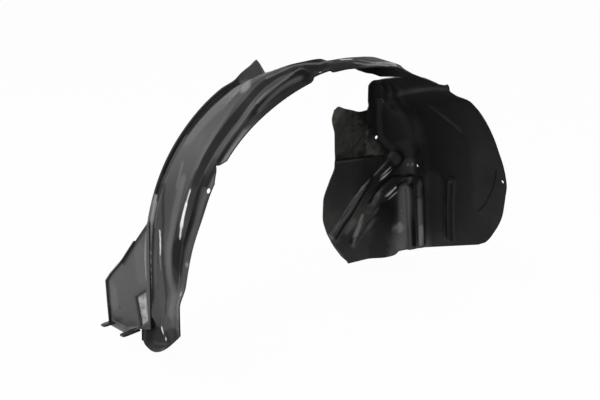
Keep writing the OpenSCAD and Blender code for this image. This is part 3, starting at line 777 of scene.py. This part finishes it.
# Shader maths
class Value:
    """A shader socket that takes part in sums."""

    def __init__(self, paint, socket):
        self.paint = paint
        self.socket = socket

    def combine(self, kind, *others):
        return self.paint.value("ShaderNodeMath", {"operation": kind}, [self, *others])

    def __add__(self, other):
        return self.combine("ADD", other)

    def __mul__(self, other):
        return self.combine("MULTIPLY", other)

    def __rsub__(self, other):
        return self.paint.value("ShaderNodeMath", {"operation": "SUBTRACT"}, [other, self])

    __radd__ = __add__
    __rmul__ = __mul__

    def ramp(self, lo, hi):
        """0 at lo and 1 at hi, softly."""
        settings = {"interpolation_type": "SMOOTHSTEP"}
        ends = {"Value": self, "From Min": lo, "From Max": hi}
        return self.paint.value("ShaderNodeMapRange", settings, ends)


class Nodes:
    """Nodes of one material or of the world."""

    def __init__(self, tree):
        self.tree = tree

    def link(self, source, socket):
        if isinstance(source, Value):
            self.tree.links.new(source.socket, socket)
        else:
            socket.default_value = source

    def node(self, kind, settings, inputs):
        node = self.tree.nodes.new(kind)
        for key, value in settings.items():
            setattr(node, key, value)
        for key, value in inputs.items() if isinstance(inputs, dict) else enumerate(inputs):
            self.link(value, node.inputs[key])
        return node

    def value(self, kind, settings, inputs, out=0):
        return Value(self, self.node(kind, settings, inputs).outputs[out])

    def ray(self, name):
        return self.value("ShaderNodeLightPath", {}, {}, name)

    def place(self, output="Object"):
        """Coordinates as the vector and as its three parts."""
        vector = self.value("ShaderNodeTexCoord", {}, {}, output)
        split = self.node("ShaderNodeSeparateXYZ", {}, [vector])
        return [vector] + [Value(self, out) for out in split.outputs]

    def attribute(self, name):
        return self.value("ShaderNodeAttribute", {"attribute_name": name}, {}, "Fac")

    def noise(self, vector, scale, detail=3, stretch=(1, 1, 1), rough=0.5):
        if stretch != (1, 1, 1):
            vector = self.value("ShaderNodeMapping", {}, {"Vector": vector, "Scale": stretch})
        inputs = {"Vector": vector, "Scale": scale, "Detail": detail, "Roughness": rough}
        return self.value("ShaderNodeTexNoise", {}, inputs)

    def blend(self, factor, a, b):
        ends = [(*c, 1) if isinstance(c, tuple) else c for c in (a, b)]
        node = self.node("ShaderNodeMix", {"data_type": "RGBA"}, {0: factor, 6: ends[0], 7: ends[1]})
        return Value(self, node.outputs[2])

    def bump(self, height, strength, distance):
        inputs = {"Height": height, "Strength": strength, "Distance": distance}
        return self.value("ShaderNodeBump", {}, inputs)

    def principled(self, links, **fixed):
        shader = self.node("ShaderNodeBsdfPrincipled", {}, links)
        for key, value in fixed.items():
            shader.inputs[key.replace("_", " ")].default_value = value
        return Value(self, shader.outputs[0])

    def mix_shaders(self, factor, a, b):
        return self.value("ShaderNodeMixShader", {}, [factor, a, b])


def new_material(name):
    """An empty material, its nodes and its surface socket."""
    material = bpy.data.materials.new(name)
    material.use_nodes = True
    material.node_tree.nodes.clear()
    nodes = Nodes(material.node_tree)
    return material, nodes, nodes.tree.nodes.new("ShaderNodeOutputMaterial").inputs[0]


def plastic_paint(colours):
    """Satin black sheet with a dull olive flap, soft scuffs, painted highlights and painted shade."""
    material, n, surface = new_material("formed black plastic")
    vector, x, y, z = n.place()
    x, y, z = x * 1000 + ORIGIN.x, y * 1000 + ORIGIN.y, z * 1000 + ORIGIN.z
    cloud = n.noise(vector, 14, 4)
    grain = n.noise(vector, 420, 2)
    streak = n.noise(vector, 60, 4, (1, 1, 0.12))
    black = tuple(colours.plastic)
    worn = tuple(c * 1.8 + 0.003 for c in black)
    base = n.blend(cloud.ramp(0.35, 0.75) * 0.5 + streak.ramp(0.55, 0.8) * 0.3, black, worn)
    mottle = n.noise(vector, 75, 5, rough=0.7)
    patch = n.noise(vector, 22, 3, rough=0.6)
    olive = tuple(colours.olive)
    pale = tuple(c * 2.4 for c in olive)
    dark = tuple(c * 0.3 for c in olive)
    flap = n.blend(mottle.ramp(0.42, 0.62), n.blend(mottle.ramp(0.3, 0.46), dark, olive), pale)
    flap = n.blend(patch.ramp(0.48, 0.6) * 0.6, flap, pale)
    flap = n.blend(1 - patch.ramp(0.36, 0.46), flap, dark)
    inner = y.ramp(DEPTH - 12, DEPTH - 8) * (1 - (x + z * 0.8).ramp(318, 330)) * (z + x * 0.06).ramp(84, 88)
    front = (1 - x.ramp(240, 290)) * (1 - z.ramp(-40, 0))
    low = y.ramp(DEPTH - 12, DEPTH - 8) * front * cloud.ramp(0.4, 0.55) * 0.8
    # Painted highlights: where the strokes lie, the colour turns towards white
    painted_highlight = n.attribute("painted_highlight") * (0.7 + mottle * 0.6)
    highlight_white = (1.0, 1.0, 1.02)
    colour = n.blend(painted_highlight, n.blend(low, n.blend(inner, base, flap), olive), highlight_white)
    rough = 0.30 + cloud.ramp(0.3, 0.7) * 0.12 + grain.ramp(0.3, 0.7) * 0.06 + inner * 0.3
    height = grain * 0.12 + n.noise(vector, 26, 2) * 1.2 + inner * mottle * 3
    normal = n.bump(height, 0.25, 0.0012)
    satin = n.principled({"Base Color": colour, "Roughness": rough, "Normal": normal}, Specular_IOR_Level=0.8)
    # Painted shade, with the scuffs: where it lies the sheet turns to a dull shader with little sheen,
    # blacker still where it is strongest
    shade_and_scuffs = n.attribute("dark")
    deep = n.blend(cloud, black, tuple(c * 0.6 for c in black))
    deep = n.blend(shade_and_scuffs.ramp(0.86, 1.0), deep, tuple(c * 0.3 for c in black))
    dull = n.principled({"Base Color": n.blend(painted_highlight, n.blend(inner * 0.3, deep, flap), highlight_white),
                         "Roughness": 0.6 + cloud * 0.2, "Normal": normal}, Specular_IOR_Level=0.12)
    n.link(n.mix_shaders(shade_and_scuffs * (0.9 + mottle * 0.2), satin, dull), surface)
    return material


def window_sheen_paint(colours):
    """Pale mottled floor of the wing's window, its pale grey a painted reflection."""
    material, n, surface = new_material("window floor painted reflection")
    vector = n.place()[0]
    cloud = n.noise(vector, 90, 5, rough=0.65)
    window_sheen = tuple(colours.window_sheen)
    colour = n.blend(cloud.ramp(0.35, 0.65), tuple(c * 0.6 for c in window_sheen), tuple(c * 1.2 for c in window_sheen))
    links = {"Base Color": colour, "Roughness": 0.5 + cloud * 0.2, "Normal": n.bump(cloud, 0.3, 0.001)}
    n.link(n.principled(links), surface)
    return material


def shared(name, make):
    """The material of that name, made when it is first asked for."""
    return bpy.data.materials.get(name) or make(bpy.context.scene.liner_colours)


ALL_AXES = {"use_axis_x": True, "use_axis_y": True, "use_axis_z": True}


class LINER_OT_sheet(bpy.types.Operator):
    """Form the sheet: front leg, top band and rear housing, with its holes and notch"""

    bl_idname = "liner.sheet"
    bl_label = "Formed sheet"

    def execute(self, context):
        size = context.scene.liner_sizes
        rows = sheet_rows()
        width = max(len(row) for row in rows)
        bm = bmesh.new()
        bmesh.ops.create_grid(bm, x_segments=width - 1, y_segments=len(rows) - 1, size=1)
        bm.verts.ensure_lookup_table()
        spare = []
        for i, row in enumerate(rows):
            for j in range(width):
                vert = bm.verts[i * width + j]
                if j < len(row):
                    vert.co = row[j]
                else:
                    spare.append(vert)
        bmesh.ops.delete(bm, geom=spare, context="VERTS")
        inside = [v for v in bm.verts if not v.is_boundary]
        for _ in range(3):
            bmesh.ops.smooth_vert(bm, verts=inside, factor=0.5, **ALL_AXES)
        bm.normal_update()
        sample = min(bm.verts, key=lambda v: (v.co - Vector((ARCH_R, 100, 0))).length)
        if sample.normal.x > 0:
            bmesh.ops.reverse_faces(bm, faces=bm.faces)
            bm.normal_update()
        for vert in bm.verts:
            press = rear_press if vert.co.x > 0 else front_press
            vert.co += vert.normal * press(vert.co, size)
        bmesh.ops.smooth_vert(bm, verts=inside, factor=0.35, **ALL_AXES)
        for vert in bm.verts:
            vert.co = placed(vert.co)
        obj = to_object(bm, "formed_sheet", [shared("formed black plastic", plastic_paint)])
        solid = obj.modifiers.new("thickness", "SOLIDIFY")
        solid.thickness = size.sheet
        solid.offset = 0
        solid.use_even_offset = False
        apply_modifiers(obj)
        tools = [cutter(mid_point(a, y), toward_wheel(a, y), radius) for a, y, radius in HOLES]
        x, z, radius = WALL_HOLE
        tools += [cutter(Vector((x, DEPTH, z)), Vector((0, -1, 0)), radius), self.notch()]
        for tool in tools:
            cut = obj.modifiers.new("cut", "BOOLEAN")
            cut.operation = "DIFFERENCE"
            cut.solver = "EXACT"
            cut.object = tool
        apply_modifiers(obj)
        for tool in tools:
            bpy.data.objects.remove(tool)
        # painted highlight dots on the rim, then the painted highlights and painted shade written onto the
        # sheet
        rim_highlights = [("arch", 4, 2, strength, [(a, 141.5), (a + 0.01, 141.5)]) for a, strength in RIM_HIGHLIGHT_DOTS]
        paint_highlights_and_shade(obj, PAINTED_HIGHLIGHTS + rim_highlights, PAINTED_SHADE_AND_SCUFFS, lambda co, normal: sheet_spots(co / MM + ORIGIN, normal))
        smooth(obj, 38)
        dress(obj)
        return {"FINISHED"}

    def notch(self):
        """Wedge that takes the notch out of the front flange."""
        a = math.radians(NOTCH_STATION)
        out = Vector((math.cos(a), 0, math.sin(a)))
        along = Vector((math.sin(a), 0, -math.cos(a)))
        corners = [out * (ARCH_R - 20) + along * s + Vector((0, y, 0)) for s, y in NOTCH_LINE]
        bm = bmesh.new()
        face = bm.faces.new([bm.verts.new(placed(corner)) for corner in corners])
        side = bmesh.ops.extrude_face_region(bm, geom=[face])["geom"]
        bmesh.ops.translate(bm, verts=moved(side), vec=out * 0.04)
        bmesh.ops.recalc_face_normals(bm, faces=bm.faces)
        return to_object(bm, "cut", [])


def wing_place():
    """Turn, place and scale of the wing, from millimetres on its own panel."""
    turn = Matrix.Rotation(math.radians(WING_TURN), 4, "Z") @ Matrix.Rotation(math.radians(WING_LEAN), 4, "Y")
    return Matrix.Translation((WING_ROOT - ORIGIN) * MM) @ turn @ Matrix.Scale(MM, 4)


class LINER_OT_wing(bpy.types.Operator):
    """Make the wing panel with its flanges and window"""

    bl_idname = "liner.wing"
    bl_label = "Wing"

    def execute(self, context):
        size = context.scene.liner_sizes
        bm = bmesh.new()
        outline = [bm.verts.new((0, s, t)) for s, t in WING_LINE]
        window = [bm.verts.new((0, s, t)) for s, t in WINDOW_LINE]
        edges = [bm.edges.new((loop[k - 1], loop[k])) for loop in (outline, window) for k in range(len(loop))]
        bmesh.ops.triangle_fill(bm, use_beauty=True, use_dissolve=False, edges=edges)
        rim = [e for e in edges if set(e.verts) <= set(window)]
        deep = moved(bmesh.ops.extrude_edge_only(bm, edges=rim)["geom"])
        bmesh.ops.translate(bm, verts=deep, vec=(size.window / MM, 0, 0))
        # the window's floor takes the second material, pale grey for a painted reflection
        bm.faces.new(deep).material_index = 1
        for corners, depth in (((6, 7), size.flange / MM), ((1, 2, 3, 4, 5), 0.5 * size.flange / MM)):
            chosen = [bm.edges.get((outline[k], outline[k + 1])) for k in corners]
            made = bmesh.ops.extrude_edge_only(bm, edges=chosen)["geom"]
            bmesh.ops.translate(bm, verts=moved(made), vec=(-depth, 0, 0))
        bmesh.ops.recalc_face_normals(bm, faces=bm.faces)
        bmesh.ops.triangulate(bm, faces=bm.faces)
        for length in (40, 20, 10, 5):
            long_edges = [e for e in bm.edges if e.calc_length() > length]
            bmesh.ops.subdivide_edges(bm, edges=long_edges, cuts=1, use_grid_fill=True)
            bmesh.ops.triangulate(bm, faces=bm.faces)
        bmesh.ops.transform(bm, matrix=wing_place(), verts=bm.verts)
        obj = to_object(bm, "wing_panel", [shared("formed black plastic", plastic_paint),
                                           shared("window floor painted reflection", window_sheen_paint)])
        solid = obj.modifiers.new("thickness", "SOLIDIFY")
        solid.thickness = size.sheet
        solid.offset = 0
        bevel = obj.modifiers.new("edge", "BEVEL")
        bevel.width = 0.0009
        bevel.segments = 2
        apply_modifiers(obj)
        inverse = wing_place().inverted()
        # painted highlights and painted shade written onto the wing
        paint_highlights_and_shade(obj, WING_PAINTED_HIGHLIGHTS, WING_PAINTED_SHADE, lambda co, normal: {"wing": (inverse @ co).yz})
        smooth(obj, 50)
        dress(obj)
        return {"FINISHED"}


class LINER_OT_prongs(bpy.types.Operator):
    """Make the prongs that point forward from the wing's lower flange"""

    bl_idname = "liner.prongs"
    bl_label = "Prongs"

    def execute(self, context):
        size = context.scene.liner_sizes
        bm = bmesh.new()
        for s, t, share in PRONGS:
            length = share * size.prong / MM
            root = [(0, 3), (2, 0.8), (8, 0)]
            line = root + [(length, 0), (length, PRONG_W)] + [(x, PRONG_W - w) for x, w in reversed(root)]
            face = bm.faces.new([bm.verts.new((x - length, s + w - PRONG_W / 2, t)) for x, w in line])
            top = bmesh.ops.extrude_face_region(bm, geom=[face])["geom"]
            bmesh.ops.translate(bm, verts=moved(top), vec=(0, 0, PRONG_T))
        bmesh.ops.recalc_face_normals(bm, faces=bm.faces)
        bmesh.ops.bevel(bm, geom=bm.edges[:], offset=0.7, segments=2, profile=0.5, affect="EDGES",
                        material=-1)
        bmesh.ops.transform(bm, matrix=wing_place(), verts=bm.verts)
        obj = to_object(bm, "wing_prongs", [shared("formed black plastic", plastic_paint)])
        smooth(obj, 50)
        dress(obj)
        return {"FINISHED"}


class LINER_OT_stage(bpy.types.Operator):
    """Set the floor, the lamps, the world and the camera"""

    bl_idname = "liner.stage"
    bl_label = "Studio"

    def execute(self, context):
        scene = context.scene
        scene.view_settings.view_transform = "Standard"
        self.floor(scene)
        self.world(scene)
        for name, place, width, power, gloss in LAMPS:
            self.lamp(name, place, width, power, gloss)
        turn, tilt = math.radians(CAMERA_TURN), math.radians(CAMERA_TILT)
        level = math.cos(tilt)
        forward = Vector((math.sin(turn) * level, math.cos(turn) * level, -math.sin(tilt)))
        data = bpy.data.cameras.new("camera")
        data.lens = LENS
        data.sensor_width = FILM
        camera = bpy.data.objects.new("camera", data)
        camera.location = placed(CAMERA_AIM - forward * CAMERA_DISTANCE)
        camera.rotation_euler = forward.to_track_quat("-Z", "Y").to_euler()
        context.collection.objects.link(camera)
        scene.camera = camera
        return {"FINISHED"}

    def lamp(self, name, place, width, power, gloss):
        data = bpy.data.lights.new(name, "AREA")
        data.size = width
        data.energy = power
        data.specular_factor = gloss
        lamp = bpy.data.objects.new(name, data)
        lamp.location = place
        lamp.rotation_euler = (LAMP_AIM - lamp.location).to_track_quat("-Z", "Y").to_euler()
        bpy.context.collection.objects.link(lamp)

    def floor(self, scene):
        """White floor that keeps a faint shadow and reflects bright behind the liner, dim before it."""
        bm = bmesh.new()
        bmesh.ops.create_grid(bm, x_segments=1, y_segments=1, size=FLOOR_HALF)
        bmesh.ops.translate(bm, verts=bm.verts, vec=(0, 0, CAD_BOX[0].z - FLOOR_GAP))
        material, n, surface = new_material("studio floor")
        camera, glossy = n.ray("Is Camera Ray"), n.ray("Is Glossy Ray")
        behind = n.place()[2].ramp(-0.1, 0.5)
        paper = n.principled({"Base Color": (*scene.liner_colours.ground, 1), "Roughness": 0.9})
        strength = camera + glossy * (0.1 + behind * 0.9)
        glow = n.value("ShaderNodeEmission", {}, {"Color": (1, 1, 1, 1), "Strength": strength})
        n.link(n.mix_shaders(camera * 0.965 + glossy * 0.9, paper, glow), surface)
        to_object(bm, "floor", [material])

    def world(self, scene):
        """White for the camera, bright behind and dim in front for reflections, soft for the rest."""
        world = bpy.data.worlds.new("studio")
        scene.world = world
        world.use_nodes = True
        n = Nodes(world.node_tree)
        camera, glossy = n.ray("Is Camera Ray"), n.ray("Is Glossy Ray")
        vector, x, y, z = n.place("Generated")
        seen = 0.1 + 0.95 * y.ramp(-0.1, 0.5) * (1 - z.ramp(0.45, 0.95) * 0.45)
        strength = camera + (1 - camera) * (glossy * seen + (1 - glossy) * 0.55)
        back = world.node_tree.nodes["Background"]
        back.inputs["Color"].default_value = (1, 1, 1, 1)
        n.link(strength, back.inputs["Strength"])


class LINER_PT_panel(bpy.types.Panel):
    """Sidebar panel with the sizes, the colours and the steps"""

    bl_idname = "LINER_PT_panel"
    bl_label = "Wheel arch liner"
    bl_space_type = "VIEW_3D"
    bl_region_type = "UI"
    bl_category = "Liner"

    def draw(self, context):
        for group in (context.scene.liner_sizes, context.scene.liner_colours):
            for name in group.__annotations__:
                self.layout.prop(group, name)
        for operator in OPERATORS:
            self.layout.operator(operator.bl_idname)


OPERATORS = (LINER_OT_stage, LINER_OT_sheet, LINER_OT_wing, LINER_OT_prongs)
CLASSES = (LinerSizes, LinerColours, *OPERATORS, LINER_PT_panel)


def register():
    for cls in CLASSES:
        bpy.utils.register_class(cls)
    bpy.types.Scene.liner_sizes = bpy.props.PointerProperty(type=LinerSizes)
    bpy.types.Scene.liner_colours = bpy.props.PointerProperty(type=LinerColours)


def unregister():
    del bpy.types.Scene.liner_colours
    del bpy.types.Scene.liner_sizes
    for cls in reversed(CLASSES):
        bpy.utils.unregister_class(cls)


def main():
    register()
    bpy.ops.liner.stage()
    bpy.ops.liner.sheet()
    bpy.ops.liner.wing()
    bpy.ops.liner.prongs()


if __name__ == "__main__":
    main()
